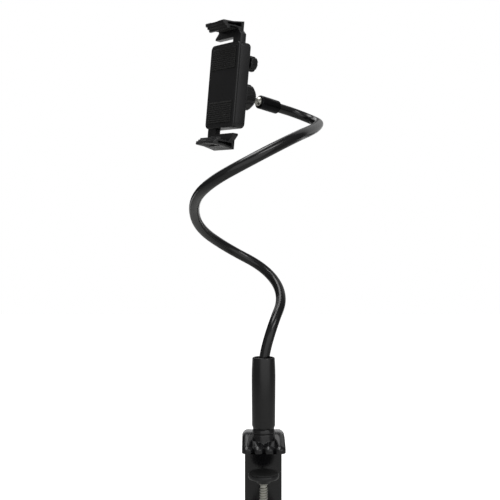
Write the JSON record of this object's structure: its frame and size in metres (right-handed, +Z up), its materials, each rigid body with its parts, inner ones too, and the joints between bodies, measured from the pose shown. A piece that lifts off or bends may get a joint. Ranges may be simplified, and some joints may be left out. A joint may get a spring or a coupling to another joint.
{
  "type": "gooseneck phone holder",
  "caption": "Clamp-on gooseneck holder: screw clamp, grip post, flexible neck, ball joint and a telescoping two-jaw holder for a phone or small tablet.",
  "frame": {"origin": "on the tabletop under the axis of the neck post, at the underside of the upper jaw's pad", "axes": "+Z up, +X to the right as seen from the front of the table edge, +Y away from the viewer towards the clamp's spine"},
  "size_m": [0.1649, 0.2494, 0.6492],
  "materials": {
    "clamp_gloss": "glossy moulded plastic",
    "grip_satin": "satin moulded plastic",
    "tube_pvc": "smooth glossy extruded sleeve",
    "holder_satin": "fine-textured moulded plastic",
    "rubber": "soft matt rubber",
    "steel": "turned steel, bright",
    "black_steel": "black-coated steel",
    "core_metal": "bare metal",
    "brass": "turned brass",
    "nylon": "natural nylon"
  },
  "bodies": {
    "clamp": {"clamp_frame": "clamp_gloss", "upper_jaw_pad": "rubber", "threaded_insert": "steel", "neck_ring": "clamp_gloss", "neck_ferrule": "steel", "ferrule_bolt": "steel", "grip_sleeve": "grip_satin", "sleeve_top_bush": "rubber", "neck_core_0": "core_metal", "neck_sleeve_0": "tube_pvc", "neck_bend_1": "tube_pvc"},
    "clamp_foot": {"pressure_disc": "holder_satin", "pressure_pad": "rubber"},
    "clamp_screw": {"clamp_screw": "steel", "screw_knob": "clamp_gloss", "knob_cap": "grip_satin", "disc_retainer": "steel"},
    "neck_1": {"neck_core_1": "core_metal", "neck_sleeve_1": "tube_pvc", "neck_bend_2": "tube_pvc"},
    "neck_2": {"neck_core_2": "core_metal", "neck_sleeve_2": "tube_pvc", "neck_bend_3": "tube_pvc"},
    "neck_3": {"neck_core_3": "core_metal", "neck_sleeve_3": "tube_pvc", "neck_bend_4": "tube_pvc"},
    "neck_4": {"neck_core_4": "core_metal", "neck_sleeve_4": "tube_pvc", "neck_bend_5": "tube_pvc"},
    "neck_5": {"neck_core_5": "core_metal", "neck_sleeve_5": "tube_pvc", "neck_bend_6": "tube_pvc"},
    "neck_6": {"neck_core_6": "core_metal", "neck_sleeve_6": "tube_pvc", "end_collar": "black_steel", "ball_stud": "steel"},
    "ball_collet": {"collet_ring": "nylon"},
    "ball_seat": {"ball_seat": "nylon"},
    "holder": {"front_shell": "holder_satin", "front_pads": "rubber", "back_shell": "holder_satin", "shell_screws": "steel", "pinion_pin": "steel", "lock_insert": "brass"},
    "pinion": {"pinion": "nylon"},
    "upper_jaw": {"upper_jaw": "holder_satin", "upper_jaw_grip": "rubber"},
    "lower_jaw": {"lower_jaw": "holder_satin", "lower_jaw_grip": "rubber"},
    "lock_ring": {"lock_ring": "grip_satin"},
    "jaw_lock": {"lock_screw": "steel", "lock_knob": "grip_satin"}
  },
  "joints": [
    {"name": "foot_slide", "type": "slide", "parent": "clamp", "child": "clamp_foot", "axis": [0, 0, 1], "range_m": [-0.035, 0.022]},
    {"name": "screw_turn", "type": "hinge", "parent": "clamp_foot", "child": "clamp_screw", "pos_m": [0, -0.003, -0.06], "axis": [0, 0, 1], "range_deg": [-4200, 2640]},
    {"name": "neck_flex_1", "type": "hinge", "parent": "clamp", "child": "neck_1", "pos_m": [0.018, 0.023, 0.1605], "axis": [0.9398, -0.3417, 0], "range_deg": [-20, 20], "deforming": ["neck_bend_1"]},
    {"name": "neck_flex_2", "type": "hinge", "parent": "neck_1", "child": "neck_2", "pos_m": [-0.02, 0.089, 0.2225], "axis": [-0.4608, 0, -0.8875], "range_deg": [-20, 20], "deforming": ["neck_bend_2"]},
    {"name": "neck_flex_3", "type": "hinge", "parent": "neck_2", "child": "neck_3", "pos_m": [-0.08, 0.0025, 0.273], "axis": [-0.9996, 0.0298, 0], "range_deg": [-20, 20], "deforming": ["neck_bend_3"]},
    {"name": "neck_flex_4", "type": "hinge", "parent": "neck_3", "child": "neck_4", "pos_m": [-0.0365, -0.106, 0.315], "axis": [0.412, -0.1403, -0.9003], "range_deg": [-20, 20], "deforming": ["neck_bend_4"]},
    {"name": "neck_flex_5", "type": "hinge", "parent": "neck_4", "child": "neck_5", "pos_m": [0.045, -0.0455, 0.363], "axis": [0.9441, -0.3297, 0], "range_deg": [-20, 20], "deforming": ["neck_bend_5"]},
    {"name": "neck_flex_6", "type": "hinge", "parent": "neck_5", "child": "neck_6", "pos_m": [0.071, 0.0855, 0.3925], "axis": [0.0169, 0.189, -0.9818], "range_deg": [-20, 20], "deforming": ["neck_bend_6"]},
    {"name": "ball_tilt", "type": "hinge", "parent": "neck_6", "child": "ball_collet", "pos_m": [-0.02241, 0.07404, 0.4242], "axis": [0.6189, -0.7838, -0.051], "range_deg": [-15, 15]},
    {"name": "ball_swing", "type": "hinge", "parent": "ball_collet", "child": "ball_seat", "pos_m": [-0.02241, 0.07404, 0.4242], "axis": [0.0826, 0.0004, 0.9966], "range_deg": [-15, 15]},
    {"name": "ball_roll", "type": "hinge", "parent": "ball_seat", "child": "holder", "pos_m": [-0.02241, 0.07404, 0.4242], "axis": [-0.7811, -0.621, 0.065], "continuous": true},
    {"name": "lock_ring_turn", "type": "hinge", "parent": "holder", "child": "lock_ring", "pos_m": [-0.02241, 0.07404, 0.4242], "axis": [-0.7811, -0.621, 0.065], "range_deg": [-120, 0]},
    {"name": "upper_jaw_slide", "type": "slide", "parent": "holder", "child": "upper_jaw", "axis": [0.0826, 0.0004, 0.9966], "range_m": [-0.006, 0.03]},
    {"name": "lower_jaw_slide", "type": "slide", "parent": "holder", "child": "lower_jaw", "axis": [-0.0826, -0.0004, -0.9966], "range_m": [-0.006, 0.03]},
    {"name": "pinion_turn", "type": "hinge", "parent": "holder", "child": "pinion", "pos_m": [-0.04518, 0.05541, 0.43412], "axis": [-0.7811, -0.621, 0.065], "range_deg": [-38.3, 191.1]},
    {"name": "jaw_lock_turn", "type": "hinge", "parent": "holder", "child": "jaw_lock", "pos_m": [-0.02016, 0.05102, 0.46215], "axis": [-0.7811, -0.621, 0.065], "range_deg": [-360, 0]}
  ],
  "couplings": [
    {"joint": "screw_turn", "follows": "foot_slide", "rad_per_m": 2094.4},
    {"joint": "lower_jaw_slide", "follows": "upper_jaw_slide", "ratio": 1},
    {"joint": "pinion_turn", "follows": "upper_jaw_slide", "rad_per_m": 111.11}
  ]
}
